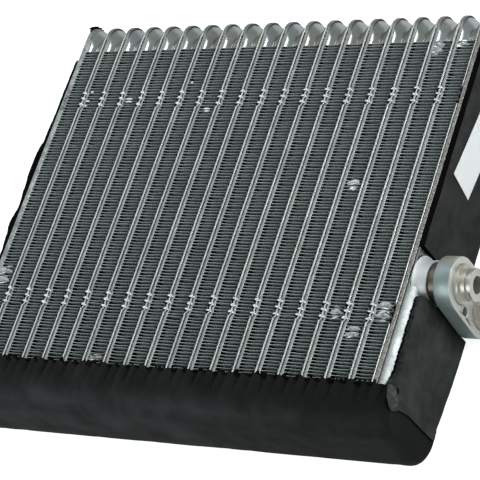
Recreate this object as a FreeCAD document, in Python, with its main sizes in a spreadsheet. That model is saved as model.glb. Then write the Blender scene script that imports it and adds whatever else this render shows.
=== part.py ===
import FreeCAD, Part
import math
import os
import Sketcher

os.makedirs("parts", exist_ok=True)
doc = FreeCAD.newDocument("evaporator_core")
Vector = FreeCAD.Vector

# Counts of repeated things
TUBE_COUNT = 19
FOLD_COUNT = 20
PLATE_CHORD_COUNT = 3
FOAM_CHORD_COUNT = 5
COVER_BEND_COUNT = 3

# Driving dimensions in millimetres, and two angles in degrees
SIZES = [
    ("tube_pitch", 12.0, "from one flat tube to the next, across the core"),
    ("tube_width", 2.9, "outside width of a brazed plate pair"),
    ("lip_width", 0.95, "width of one plate lip on the edge of a tube"),
    ("groove_depth", 1.2, "depth of the groove between two lips"),
    ("core_depth", 42.0, "front lips to rear lips"),
    ("fin_length", 175.5, "between the two headers"),
    ("header_rise", 19.0, "header height beyond the fins"),
    ("header_corner", 9.6, "rounded corners of a tube plate"),
    ("header_foot", 0.3, "start of the cups beyond the fins"),
    ("groove_rise", 8.0, "how far the groove runs on beside a header"),
    ("barrel_radius", 6.85, "each pair of cups bulges as a barrel along its tube"),
    ("lip_stand", 0.15, "lips above the cups"),
    ("cup_root", 0.145, "root of the cups inside the side of their tube"),
    ("knee_shift", 0.3, "knee of a barrel's flat strips, out from halfway to the crevice"),
    ("upper_crimp", 24.3, "upper header to the upper crimped zone"),
    ("lower_crimp", 136.9, "upper header to the lower crimped zone"),
    ("crimp_length", 9.7, "length of a crimped zone"),
    ("fin_gauge", 0.2, "sheet thickness of a fin"),
    ("fin_recess", 0.4, "fin edges behind the lips"),
    ("fin_end_gap", 0.8, "fin end to header"),
    ("seat_gap", 0.05, "brazed seats"),
    ("end_plate_width", 2.6, "left end plate over its folded rim"),
    ("end_plate_web", 1.0, "sheet thickness of the left end plate"),
    ("passage_web", 1.0, "sheet thickness of the passage plate"),
    ("passage_drop", 108.1, "upper header to the upper edge of the passage plate"),
    ("passage_margin", 0.8, "edges of the passage plate behind the lips"),
    ("passage_foot", 10.5, "lower end of the channels beyond the fins"),
    ("channel_height", 5.4, "round channel above the passage plate"),
    ("channel_width", 20.4, "width of the front channel"),
    ("rear_channel_width", 17.6, "width of the rear channel"),
    ("port_drop", 12.3, "upper edge of the passage plate to the axis of the front port"),
    ("rear_port_drop", 12.9, "upper edge of the passage plate to the axis of the rear port"),
    ("port_inset", 10.9, "front lips to the axis of the front port"),
    ("port_spacing", 22.0, "front port to rear port, in depth"),
    ("collar_radius", 9.86, "drawn collar"),
    ("collar_reach", 6.65, "collar rim beyond the passage plate"),
    ("socket_depth", 4.5, "depth of the socket in a collar"),
    ("nipple_radius", 8.8, "port tube between collar and flange"),
    ("nipple_seat", 3.0, "port tube inside its socket"),
    ("nipple_length", 4.6, "port tube between collar and flange"),
    ("flange_thickness", 8.3, ""),
    ("flange_radius", 12.2, "rounded front end of the flange"),
    ("flange_rear_radius", 12.8, "rounded rear end of the flange"),
    ("flange_rear_trim", 11.9, "axis of the rear port to the flange's flat rear end"),
    ("shoulder_length", 1.9, "foot of a spigot beyond the flange"),
    ("land_radius", 7.3, "sealing land of the front spigot"),
    ("rear_land_radius", 8.0, "sealing land of the rear spigot"),
    ("spigot_length", 7.0, "spigots beyond the flange"),
    ("ring_groove_width", 1.6, "groove for the sealing ring"),
    ("ring_groove_depth", 1.0, ""),
    ("tip_land", 1.1, "land beyond the ring groove"),
    ("front_bore", 4.0, "radius"),
    ("rear_bore", 5.5, "radius"),
    ("screw_hole", 2.1, "radius"),
    ("screw_side", 8.7, "front port to the screw hole, along the tubes"),
    ("screw_back", 8.6, "front port to the screw hole, in depth"),
    ("foam", 3.0, "thickness of the foam sheets"),
    ("foam_gap", 0.3, "foam to metal"),
    ("foam_start", 0.6, "upper header to the upper edge of the right sheet"),
    ("lower_foam_drop", 10.6, "axis of the front port to the upper edge of the lower right sheet"),
    ("lower_foam_inset", 3.3, "lips to the front edge of the lower right sheet"),
    ("boot_height", 21.5, "upper edge of the boot above its underside"),
    ("boot_side_height", 16.5, "side walls of the boot above its underside"),
    ("boot_front_corner", 13.0, "outside corner of the boot in front"),
    ("boot_rear_corner", 16.0, "outside corner of the boot at the back"),
    ("boot_inner_corner", 10.0, "inside corners of the boot"),
    ("left_foam_recess", 2.0, "front edge of the left sheet behind the lips"),
    ("head_overhang", 0.9, "left sheet beyond the head of the end plate"),
    ("head_step", 1.0, "step in the left sheet's front edge below the rounded head"),
    ("head_angle", 60.0, "degrees of the rounded head that the left sheet follows in front"),
    ("cut_margin", 1.0, "cutting outlines run on beyond the solid that they cut"),
    ("label_length", 45.0, ""),
    ("label_width", 17.9, ""),
    ("label_thickness", 0.2, ""),
    ("label_drop", 67.9, "upper header to the lower front corner of the label"),
    ("label_inset", 5.4, "front lips to the lower front corner of the label"),
    ("label_tilt", 9.8, "degrees"),
]

sheet = doc.addObject("Spreadsheet::Sheet", "dims")
for row, (alias, value, note) in enumerate(SIZES, start=1):
    sheet.set("A%d" % row, alias)
    sheet.set("B%d" % row, str(value))
    sheet.set("C%d" % row, note)
    sheet.setAlias("B%d" % row, alias)
doc.recompute()


class Size:
    """A length with its value now and the expression that keeps it up to date."""

    def __init__(self, value, text):
        self.value = float(value)
        self.text = text

    def __add__(self, other):
        other = as_size(other)
        return Size(self.value + other.value, "(%s + %s)" % (self.text, other.text))

    def __sub__(self, other):
        other = as_size(other)
        return Size(self.value - other.value, "(%s - %s)" % (self.text, other.text))

    def __mul__(self, other):
        other = as_size(other)
        return Size(self.value * other.value, "(%s * %s)" % (self.text, other.text))

    def __truediv__(self, other):
        other = as_size(other)
        return Size(self.value / other.value, "(%s / %s)" % (self.text, other.text))

    def __neg__(self):
        return Size(-self.value, "(0 - %s)" % self.text)

    def root(self):
        return Size(math.sqrt(self.value), "sqrt(%s)" % self.text)


def as_size(value):
    if isinstance(value, Size):
        return value
    return Size(value, "%.9g" % value)


def dim(alias):
    return Size(sheet.get(alias), "dims.%s" % alias)


# Places worked out from the driving dimensions.
# X runs across the tubes, Y along them and Z from the rear lips to the front lips.
# Before it is set in its own frame, the core has X = 0 in the left end plate, Y = 0 at the
# upper end of the fins and Z = 0 on the front lips.
half_tube = dim("tube_width") / 2
half_pitch = dim("tube_pitch") / 2
front_lips = as_size(0)
rear_lips = -dim("core_depth")
fin_bottom = -dim("fin_length")
head_top = dim("header_rise")
head_bottom = fin_bottom - dim("header_rise")
last_tube = dim("tube_pitch") * TUBE_COUNT
right_face = last_tube + half_tube
left_face = half_tube - dim("end_plate_width")

web_face = right_face + dim("passage_web")
channel_crest = web_face + dim("channel_height")
passage_top = -dim("passage_drop")
passage_low = fin_bottom - dim("passage_foot")
front_port = (passage_top - dim("port_drop"), -dim("port_inset"))
rear_port = (passage_top - dim("rear_port_drop"), front_port[1] - dim("port_spacing"))
collar_rim = web_face + dim("collar_reach")
flange_back = collar_rim + dim("nipple_length")
flange_face = flange_back + dim("flange_thickness")
spigot_tip = flange_face + dim("spigot_length")

foam_rear = rear_lips - dim("foam_gap") - dim("foam")
right_foam_in = right_face + dim("foam_gap")
right_foam_out = right_foam_in + dim("foam")
left_foam_in = left_face - dim("foam_gap")
left_foam_out = left_foam_in - dim("foam")
cover_in = channel_crest + dim("foam_gap")
cover_out = cover_in + dim("foam")
boot_floor_in = head_bottom - dim("foam_gap")
boot_floor = boot_floor_in - dim("foam")
boot_front_in = dim("foam_gap")
boot_front = boot_front_in + dim("foam")
boot_rear_in = rear_lips - dim("foam_gap")
boot_edge = boot_floor + dim("boot_height")
boot_side_edge = boot_floor + dim("boot_side_height")

# The frame's origin lies under the middle of the whole core as it rests on its back
middle_x = (left_foam_out + spigot_tip) / 2
middle_y = (boot_floor + head_top + dim("head_overhang")) / 2
ORIGIN = (middle_x, middle_y, foam_rear)

nodes = []


def bind(target, name, size):
    target.setExpression(name, as_size(size).text)


def seat(target, x=0, y=0, z=0):
    """Put a sub-part at its place in the core, measured in the frame of the whole."""
    for axis, place, origin in zip("xyz", (x, y, z), ORIGIN):
        bind(target, "Placement.Base.%s" % axis, as_size(place) - origin)


def node(target, name):
    target.Label = name
    nodes.append(target)


def new_body(name):
    return doc.addObject("PartDesign::Body", name + "_body")


def plane_of(body, role):
    for feature in body.Origin.OriginFeatures:
        if feature.Role == role:
            return feature
    raise ValueError(role)


def new_sketch(body, name, role, lift=None):
    """A sketch on one of its body's own planes, lifted along the plane's normal."""
    sketch = body.newObject("Sketcher::SketchObject", name)
    sketch.AttachmentSupport = [(plane_of(body, role), "")]
    sketch.MapMode = "FlatFace"
    if lift is not None:
        bind(sketch, "AttachmentOffset.Base.z", lift)
    return sketch


def spot(point):
    return Vector(as_size(point[0]).value, as_size(point[1]).value, 0)


def pin_point(sketch, line, end, point):
    """Hold a point of a line at its place, measured from the sketch's origin."""
    for kind, size in zip(("DistanceX", "DistanceY"), point):
        size = as_size(size)
        index = sketch.addConstraint(Sketcher.Constraint(kind, -1, 1, line, end, size.value))
        bind(sketch, "Constraints[%d]" % index, size)


def pin_radius(sketch, line, radius):
    radius = as_size(radius)
    index = sketch.addConstraint(Sketcher.Constraint("Radius", line, radius.value))
    bind(sketch, "Constraints[%d]" % index, radius)


def add_loop(sketch, points):
    """A closed outline of straight lines."""
    first = sketch.GeometryCount
    count = len(points)
    spots = [spot(point) for point in points]
    for i in range(count):
        sketch.addGeometry(Part.LineSegment(spots[i], spots[(i + 1) % count]), False)
    for i in range(count):
        following = first + (i + 1) % count
        sketch.addConstraint(Sketcher.Constraint("Coincident", first + i, 2, following, 1))
    for i, point in enumerate(points):
        pin_point(sketch, first + i, 1, point)


def add_circle(sketch, centre, radius):
    circle = Part.Circle(spot(centre), Vector(0, 0, 1), as_size(radius).value)
    line = sketch.addGeometry(circle, False)
    pin_point(sketch, line, 3, centre)
    pin_radius(sketch, line, radius)


def box_loop(x0, y0, x1, y1):
    return [(x0, y0), (x1, y0), (x1, y1), (x0, y1)]


def pad(body, sketch, name, length, back=None):
    """Pad a sketch by a length, and by another length behind it."""
    feature = body.newObject("PartDesign::Pad", name)
    feature.Profile = sketch
    bind(feature, "Length", length)
    if back is not None:
        feature.SideType = "Two sides"
        bind(feature, "Length2", back)
    return feature


def pocket(body, sketch, name, depth, reverse=False):
    feature = body.newObject("PartDesign::Pocket", name)
    feature.Profile = sketch
    feature.Reversed = reverse
    bind(feature, "Length", depth)
    return feature


# Outlines seen along X, with sketch axes Y and Z of the core
def corner(centre, radius, first, last, chords):
    """Chords of an arc between two angles in degrees."""
    points = []
    for step in range(chords + 1):
        angle = math.radians(first + (last - first) * step / chords)
        y = centre[0] + radius * math.cos(angle)
        z = centre[1] + radius * math.sin(angle)
        points.append((y, z))
    return points


def head_arc(crown, sign, inset):
    """Both rounded corners at one end of a tube plate, from the front lip to the rear lip."""
    radius = dim("header_corner")
    y = crown - radius * sign
    chords = PLATE_CHORD_COUNT
    start = 90
    turn = 0
    if sign < 0:
        turn = 180
    front = corner((y, front_lips - radius), radius - inset, start, turn, chords)
    rear = corner((y, rear_lips + radius), radius - inset, turn, start + 2 * (turn - start), chords)
    return front + rear


def plate_outline(inset=0):
    upper = head_arc(head_top, 1, as_size(inset))
    lower = head_arc(head_bottom, -1, as_size(inset))
    return upper + lower[::-1]


def barrel_inset(x):
    """How far the barrel has dropped at a distance from the tube's middle."""
    radius = dim("barrel_radius")
    return radius - (radius * radius - x * x).root() + dim("lip_stand")


def half_barrel(name, crown, sign, foot, side, places):
    """Drawn cups of one header on one side of a tube: flat strips between inset outlines."""
    rings = []
    for place in places:
        inset = barrel_inset(place)
        ring = [(foot, front_lips - inset)] + head_arc(crown, sign, inset)
        ring.append((foot, rear_lips + inset))
        rings.append([Vector(side * place.value, spot(point).x, spot(point).y) for point in ring])
    outlines = [rings[0], rings[-1]]
    for near, far in zip(rings, rings[1:]):
        for i in range(len(near)):
            outlines.append([near[i - 1], near[i], far[i], far[i - 1]])
    faces = [Part.Face(Part.makePolygon(outline + outline[:1])) for outline in outlines]
    solid = Part.Solid(Part.Shell(faces))
    if solid.Volume < 0:
        solid.reverse()
    cups = doc.addObject("Part::Feature", name)
    cups.Shape = solid
    return cups


def make_cups(name, side):
    """Cups of both headers on one side. The lower ones are out of sight and plainer."""
    inner = half_tube - dim("cup_root")
    middle = (half_tube + half_pitch) / 2 + dim("knee_shift")
    upper = half_barrel(name + "_upper", head_top, 1, dim("header_foot"), side,
                        (inner, middle, half_pitch))
    lower = half_barrel(name + "_lower", head_bottom, -1, fin_bottom - dim("header_foot"), side,
                        (inner, half_pitch))
    return [upper, lower]


def add_grooves(body):
    """Grooves between the lips of the two plates, closed at the crimped zones in front."""
    half = half_tube - dim("lip_width")
    top = dim("groove_rise")
    bottom = fin_bottom - dim("groove_rise")
    upper = -dim("upper_crimp")
    lower = -dim("lower_crimp")
    stretches = [(upper, top)]
    stretches.append((lower, upper - dim("crimp_length")))
    stretches.append((bottom, lower - dim("crimp_length")))
    sketch = new_sketch(body, "front_groove_outline", "XY_Plane")
    for low, high in stretches:
        add_loop(sketch, box_loop(-half, low, half, high))
    pocket(body, sketch, "front_grooves", dim("groove_depth"))
    sketch = new_sketch(body, "rear_groove_outline", "XY_Plane", rear_lips)
    add_loop(sketch, box_loop(-half, bottom, half, top))
    pocket(body, sketch, "rear_groove", dim("groove_depth"), True)


def brazed(name, body, sides):
    """A plate with the cups that are drawn from it, as one solid."""
    parts = [body]
    for side in sides:
        parts += make_cups("%s_cups" % name, side)
    solid = doc.addObject("Part::MultiFuse", name)
    solid.Shapes = parts
    return solid


def make_tube(name, sides):
    """One flat tube: a brazed plate pair with its cups, its middle at X = 0."""
    body = new_body(name)
    sketch = new_sketch(body, "plate_outline", "YZ_Plane")
    add_loop(sketch, plate_outline())
    pad(body, sketch, "plates", half_tube, half_tube)
    add_grooves(body)
    return brazed(name, body, sides)


def copy_of(master, name, x):
    """The same solid again, at its own place across the core."""
    copy = doc.addObject("Part::Compound", name)
    copy.Links = [master]
    seat(copy, x)
    node(copy, name)


def make_tubes():
    master = make_tube("inner_tube", (-1, 1))
    for k in range(1, TUBE_COUNT):
        copy_of(master, "tube_%02d" % k, dim("tube_pitch") * k)
    last = make_tube("outer_tube", (-1,))
    copy_of(last, "tube_%02d" % TUBE_COUNT, last_tube)


def make_fins():
    """One corrugated strip, folded to and fro between two tubes, and its copies."""
    reach = (sheet.get("tube_pitch") - sheet.get("tube_width")) / 2 - sheet.get("seat_gap")
    run = sheet.get("fin_length") - 2 * sheet.get("fin_end_gap")
    rise = run / FOLD_COUNT
    half = sheet.get("fin_gauge") / 2 * math.hypot(1.0, 2 * reach / rise)
    folds = []
    for i in range(FOLD_COUNT + 1):
        side = 1 if i % 2 else -1
        folds.append((side * (reach - half), -sheet.get("fin_end_gap") - i * rise))
    front = -sheet.get("fin_recess")
    edge = [Vector(x + half, y, front) for x, y in folds]
    edge += [Vector(x - half, y, front) for x, y in reversed(folds)]
    face = Part.Face(Part.makePolygon(edge + edge[:1]))
    depth = sheet.get("core_depth") - 2 * sheet.get("fin_recess")
    master = doc.addObject("Part::Feature", "fin_strip")
    master.Shape = face.extrude(Vector(0, 0, -depth))
    for k in range(1, TUBE_COUNT + 1):
        copy_of(master, "fin_%02d" % k, dim("tube_pitch") * (k - 0.5))


def make_left_end_plate():
    """A side plate with a folded rim that opens outwards, and half cups on its inner face."""
    body = new_body("left_end_plate")
    sketch = new_sketch(body, "end_outline", "YZ_Plane")
    add_loop(sketch, plate_outline())
    pad(body, sketch, "side_plate", half_tube, -left_face)
    sketch = new_sketch(body, "tray_outline", "YZ_Plane", left_face)
    add_loop(sketch, plate_outline(dim("end_plate_web")))
    pocket(body, sketch, "tray", dim("end_plate_width") - dim("end_plate_web"), True)
    copy_of(brazed("end_plate", body, (1,)), "left_end_plate", 0)


def add_channel(body, name, port, width):
    """A round channel from a port down to the lower header."""
    sketch = new_sketch(body, "%s_channel_outline" % name, "XZ_Plane", -port[0])
    half = width / 2
    rise = dim("channel_height")
    radius = (half * half + rise * rise) / (rise * 2)
    low = (web_face, port[1] - half)
    high = (web_face, port[1] + half)
    chord = sketch.addGeometry(Part.LineSegment(spot(low), spot(high)), False)
    crest = (web_face + rise, port[1])
    arc = sketch.addGeometry(Part.Arc(spot(high), spot(crest), spot(low)), False)
    pin_point(sketch, chord, 1, low)
    pin_point(sketch, chord, 2, high)
    ends = arc_ends(sketch, arc, spot(low))
    sketch.addConstraint(Sketcher.Constraint("Coincident", arc, ends[0], chord, 1))
    sketch.addConstraint(Sketcher.Constraint("Coincident", arc, ends[1], chord, 2))
    pin_radius(sketch, arc, radius)
    pad(body, sketch, "%s_channel" % name, port[0] - passage_low)


def arc_ends(sketch, arc, place):
    """Which end of an arc lies at a place, and which is the other."""
    if sketch.getPoint(arc, 1).distanceToPoint(place) < 1e-6:
        return (1, 2)
    return (2, 1)


def add_collar(body, name, port):
    """A drawn collar and the socket for its port tube."""
    sketch = new_sketch(body, "%s_collar_profile" % name, "XY_Plane", port[1])
    axis = port[0]
    profile = [(right_face, axis), (collar_rim, axis)]
    profile.append((collar_rim, axis + dim("collar_radius")))
    profile.append((right_face, axis + dim("collar_radius")))
    add_loop(sketch, profile)
    turn_about_first_line(body, sketch, "PartDesign::Revolution", "%s_collar" % name)
    sketch = new_sketch(body, "%s_socket_outline" % name, "YZ_Plane", collar_rim)
    add_circle(sketch, port, dim("nipple_radius") + dim("seat_gap"))
    pocket(body, sketch, "%s_socket" % name, dim("socket_depth"))


def turn_about_first_line(body, sketch, kind, name):
    feature = body.newObject(kind, name)
    feature.Profile = sketch
    feature.ReferenceAxis = (sketch, ["Edge1"])
    feature.Angle = 360
    return feature


def make_passage_plate():
    """Stamped plate with two round channels and two drawn collars."""
    body = new_body("passage_plate")
    sketch = new_sketch(body, "plate_outline", "YZ_Plane", right_face)
    rim = dim("passage_margin")
    add_loop(sketch, box_loop(passage_low, rear_lips + rim, passage_top, -rim))
    pad(body, sketch, "plate", dim("passage_web"))
    add_channel(body, "front", front_port, dim("channel_width"))
    add_channel(body, "rear", rear_port, dim("rear_channel_width"))
    for name, port in (("front", front_port), ("rear", rear_port)):
        add_collar(body, name, port)
    seat(body)
    node(body, "passage_plate")


def make_port_tube(name, port, land, bore, grooved):
    """A turned tube from its socket through the flange to a stepped spigot."""
    body = new_body(name)
    sketch = new_sketch(body, "profile", "XY_Plane", port[1])
    axis = port[0]
    back = collar_rim - dim("nipple_seat")
    shoulder = flange_face + dim("shoulder_length")
    groove_end = spigot_tip - dim("tip_land")
    groove_start = groove_end - dim("ring_groove_width")
    groove = land - dim("ring_groove_depth")
    profile = [(back, axis + bore), (spigot_tip, axis + bore)]
    profile.append((spigot_tip, axis + land))
    if grooved:
        profile.append((groove_end, axis + land))
        profile.append((groove_end, axis + groove))
        profile.append((groove_start, axis + groove))
        profile.append((groove_start, axis + land))
    profile.append((shoulder, axis + land))
    profile.append((shoulder, axis + dim("nipple_radius")))
    profile.append((back, axis + dim("nipple_radius")))
    add_loop(sketch, profile)
    centre = sketch.addGeometry(Part.LineSegment(spot((back, axis)), spot((spigot_tip, axis))), True)
    pin_point(sketch, centre, 1, (back, axis))
    pin_point(sketch, centre, 2, (spigot_tip, axis))
    turn = body.newObject("PartDesign::Revolution", "turned_tube")
    turn.Profile = sketch
    turn.ReferenceAxis = (sketch, ["Axis0"])
    turn.Angle = 360
    seat(body)
    node(body, name)


def add_round_ended_outline(sketch, first, first_radius, second, second_radius):
    """Two arcs about two centres, joined by their common tangents."""
    a = spot(first)
    b = spot(second)
    along = b - a
    r1 = first_radius.value
    r2 = second_radius.value
    lean = math.asin((r1 - r2) / along.Length)
    heading = math.atan2(along.y, along.x)
    lines = []
    for side in (1, -1):
        angle = heading + side * (math.pi / 2 - lean)
        offset = Vector(math.cos(angle), math.sin(angle), 0)
        lines.append((a + offset * r1, b + offset * r2))
    left, right = lines
    back = a - along.normalize() * r1
    front = b + along * r2
    parts = [sketch.addGeometry(Part.LineSegment(*left), False)]
    parts.append(sketch.addGeometry(Part.Arc(left[1], front, right[1]), False))
    parts.append(sketch.addGeometry(Part.LineSegment(right[1], right[0]), False))
    parts.append(sketch.addGeometry(Part.Arc(right[0], back, left[0]), False))
    for line, arc in ((0, 1), (2, 1), (2, 3), (0, 3)):
        for line_end in (1, 2):
            for arc_end in (1, 2):
                gap = sketch.getPoint(parts[line], line_end) - sketch.getPoint(parts[arc], arc_end)
                if gap.Length < 1e-6:
                    tangent = Sketcher.Constraint("Tangent", parts[line], line_end, parts[arc], arc_end)
                    sketch.addConstraint(tangent)
    pin_point(sketch, parts[3], 3, first)
    pin_radius(sketch, parts[3], first_radius)
    pin_point(sketch, parts[1], 3, second)
    pin_radius(sketch, parts[1], second_radius)


def make_flange():
    """The plate that holds both port tubes, with a small screw hole between them."""
    body = new_body("fitting_flange")
    sketch = new_sketch(body, "outline", "YZ_Plane", flange_back)
    add_round_ended_outline(sketch, front_port, dim("flange_radius"), rear_port, dim("flange_rear_radius"))
    pad(body, sketch, "flange", dim("flange_thickness"))
    sketch = new_sketch(body, "holes", "YZ_Plane", flange_face)
    for port in (front_port, rear_port):
        add_circle(sketch, port, dim("nipple_radius") + dim("seat_gap"))
    screw = (front_port[0] - dim("screw_side"), front_port[1] - dim("screw_back"))
    add_circle(sketch, screw, dim("screw_hole"))
    pocket(body, sketch, "bores", dim("flange_thickness"))
    trim = rear_port[1] - dim("flange_rear_trim")
    sketch = new_sketch(body, "rear_end", "YZ_Plane", flange_face)
    span = dim("flange_rear_radius") + dim("cut_margin")
    add_loop(sketch, box_loop(rear_port[0] - span, trim - span, rear_port[0] + span, trim))
    pocket(body, sketch, "flat_rear_end", dim("flange_thickness"))
    seat(body)
    node(body, "fitting_flange")


def make_upper_right_foam():
    body = new_body("upper_right_foam")
    low = passage_top + dim("foam_gap")
    sketch = new_sketch(body, "outline", "YZ_Plane", right_foam_in)
    add_loop(sketch, box_loop(low, foam_rear, -dim("foam_start"), front_lips))
    pad(body, sketch, "sheet", dim("foam"))
    seat(body)
    node(body, "upper_right_foam")


def make_lower_right_foam():
    """A sheet that bends over the front channel and lies flat on both crests."""
    body = new_body("lower_right_foam")
    top = front_port[0] - dim("lower_foam_drop")
    sketch = new_sketch(body, "section", "XZ_Plane", -top)
    half = dim("channel_width") / 2
    rise = dim("channel_height")
    radius = (half * half + rise * rise) / (rise * 2)
    edge = dim("port_inset") - dim("lower_foam_inset")
    points = []
    lower = []
    for step in range(COVER_BEND_COUNT + 1):
        z = edge * (1 - step / COVER_BEND_COUNT)
        inner = radius + dim("foam_gap")
        outer = inner + dim("foam")
        base = channel_crest - radius
        points.append((base + (inner * inner - z * z).root(), front_port[1] + z))
        lower.append((base + (outer * outer - z * z).root(), front_port[1] + z))
    points.append((cover_in, foam_rear))
    lower.append((cover_out, foam_rear))
    add_loop(sketch, points + lower[::-1])
    pad(body, sketch, "sheet", top - boot_side_edge - dim("foam_gap"))
    seat(body)
    node(body, "lower_right_foam")


def make_left_foam():
    """A sheet on the left end plate that follows the rounded head."""
    body = new_body("left_foam")
    sketch = new_sketch(body, "outline", "YZ_Plane", left_foam_out)
    over = dim("head_overhang")
    radius = dim("header_corner")
    recess = -dim("left_foam_recess")
    low = boot_side_edge + dim("foam_gap")
    y = head_top - radius
    start = sheet.get("head_angle")
    first = corner((y, front_lips - radius), radius + over, start, 0, PLATE_CHORD_COUNT)
    points = [(low, recess), (y - dim("head_step"), recess)] + first
    points.append((head_top + over, rear_lips + radius))
    points.append((y, foam_rear))
    points.append((low, foam_rear))
    add_loop(sketch, points)
    pad(body, sketch, "sheet", dim("foam"))
    seat(body)
    node(body, "left_foam")


def boot_section(front, rear, floor, top, front_radius, rear_radius):
    points = [(top, front)]
    points += corner((floor + front_radius, front - front_radius), front_radius, 90, 180, FOAM_CHORD_COUNT)
    points += corner((floor + rear_radius, rear + rear_radius), rear_radius, 180, 270, FOAM_CHORD_COUNT)
    points.append((top, rear))
    return points


def make_bottom_foam():
    """A boot round the lower header, with lower walls at both sides."""
    margin = dim("cut_margin")
    body = new_body("bottom_foam")
    width = cover_out - left_foam_out
    sketch = new_sketch(body, "outside", "YZ_Plane", left_foam_out)
    section = boot_section(boot_front, foam_rear, boot_floor, boot_edge,
                           dim("boot_front_corner"), dim("boot_rear_corner"))
    add_loop(sketch, section)
    pad(body, sketch, "block", width)
    sketch = new_sketch(body, "inside", "YZ_Plane", cover_in)
    section = boot_section(boot_front_in, boot_rear_in, boot_floor_in, boot_edge + margin,
                           dim("boot_inner_corner"), dim("boot_inner_corner"))
    add_loop(sketch, section)
    pocket(body, sketch, "cavity", cover_in - left_foam_in)
    sketch = new_sketch(body, "side_walls", "XY_Plane", boot_front)
    add_loop(sketch, box_loop(left_foam_out - margin, boot_side_edge, left_foam_in, boot_edge + margin))
    add_loop(sketch, box_loop(cover_in, boot_side_edge, cover_out + margin, boot_edge + margin))
    pocket(body, sketch, "low_sides", boot_front - foam_rear)
    seat(body)
    node(body, "bottom_foam")


def make_label():
    """A blank label, stuck slightly askew on the upper right sheet."""
    body = new_body("side_label")
    sketch = new_sketch(body, "outline", "YZ_Plane")
    add_loop(sketch, box_loop(0, -dim("label_width"), dim("label_length"), 0))
    pad(body, sketch, "label", dim("label_thickness"))
    turn = FreeCAD.Rotation(Vector(-1, 0, 0), sheet.get("label_tilt"))
    body.Placement = FreeCAD.Placement(Vector(0, 0, 0), turn)
    bind(body, "Placement.Rotation.Angle", dim("label_tilt"))
    seat(body, right_foam_out, -dim("label_drop"), -dim("label_inset"))
    node(body, "side_label")


make_tubes()
make_fins()
make_left_end_plate()
make_passage_plate()
make_port_tube("liquid_port_tube", front_port, dim("land_radius"), dim("front_bore"), True)
make_port_tube("suction_port_tube", rear_port, dim("rear_land_radius"), dim("rear_bore"), False)
make_flange()
make_upper_right_foam()
make_lower_right_foam()
make_left_foam()
make_bottom_foam()
make_label()
doc.recompute()

# Every feature and every shape is sound before anything is written
for item in doc.Objects:
    if "Invalid" in item.State or "Error" in item.State:
        raise RuntimeError("%s failed" % item.Name)
for item in nodes:
    if item.Shape.isNull() or not item.Shape.isValid():
        raise RuntimeError("%s is not sound" % item.Label)
for item in nodes:
    item.Shape.exportStep("parts/%s.step" % item.Label)
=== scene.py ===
import bpy
import random
from math import cos, hypot, pi, radians, sin, sqrt
from mathutils import Matrix, Vector
from mathutils.noise import fractal


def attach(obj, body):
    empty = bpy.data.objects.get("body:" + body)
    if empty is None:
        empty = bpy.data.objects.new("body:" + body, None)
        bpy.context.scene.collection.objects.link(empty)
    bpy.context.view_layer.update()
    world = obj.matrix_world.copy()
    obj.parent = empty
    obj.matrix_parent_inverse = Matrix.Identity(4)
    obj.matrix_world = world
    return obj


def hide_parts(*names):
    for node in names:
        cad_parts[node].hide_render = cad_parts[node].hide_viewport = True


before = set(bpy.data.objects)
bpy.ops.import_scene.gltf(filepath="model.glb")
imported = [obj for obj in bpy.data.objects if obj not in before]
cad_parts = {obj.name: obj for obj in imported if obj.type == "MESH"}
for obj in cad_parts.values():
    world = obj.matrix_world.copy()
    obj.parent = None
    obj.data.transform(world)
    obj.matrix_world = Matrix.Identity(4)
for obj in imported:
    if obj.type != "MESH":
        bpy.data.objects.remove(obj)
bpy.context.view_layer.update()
random.seed(11)

# Lengths in millimetres, in the core's own axes: X = 0 in the left end plate, Y = 0 at the
# upper end of the fins, Z = 0 on the front lips
MM = 0.001
MIDDLE_X = 126.275
MIDDLE_Y = -88.95
REST_Z = -45.3
PITCH = 12.0
HALF_PITCH = PITCH / 2
TUBE_COUNT = 19
HALF_TUBE = 1.45
PLATE_SIDE = 1.40
DEPTH = 42.0
FIN_LENGTH = 175.5
HEADER_RISE = 19.0
HEADER_CORNER = 9.6
HEAD_Y = HEADER_RISE - HEADER_CORNER
BARREL_RADIUS = 6.85
LIP_STAND = 0.15

# Crimped zones on the front lips, with torn tongues in each
CRIMP_LENGTH = 9.7
CRIMPS = [(high, high - CRIMP_LENGTH) for high in (-24.3, -136.8)]
TONGUE_COUNT = 3
TONGUE_FIRST = 1.0
TONGUE_SPACING = 3.4

# Folded fins: 110 walls in each bay
WALL_SPACING = 1.6
WALLS = 110
FIRST_WALL = 0.15
FIN_REACH = 4.55
FIN_SHEET = 0.09
BEND_STEPS = 6
FIN_DEPTHS = [-0.18, -0.8, -1.8, -3.6, -12.0, -41.5]


def to_row(x, y, z):
    """A point of the core in the part's frame, in metres."""
    return ((x - MIDDLE_X) * MM, (y - MIDDLE_Y) * MM, (z - REST_Z) * MM)


def smooth_step(a, b, t):
    u = min(max((t - a) / (b - a), 0.0), 1.0)
    return u * u * (3 - 2 * u)


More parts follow.
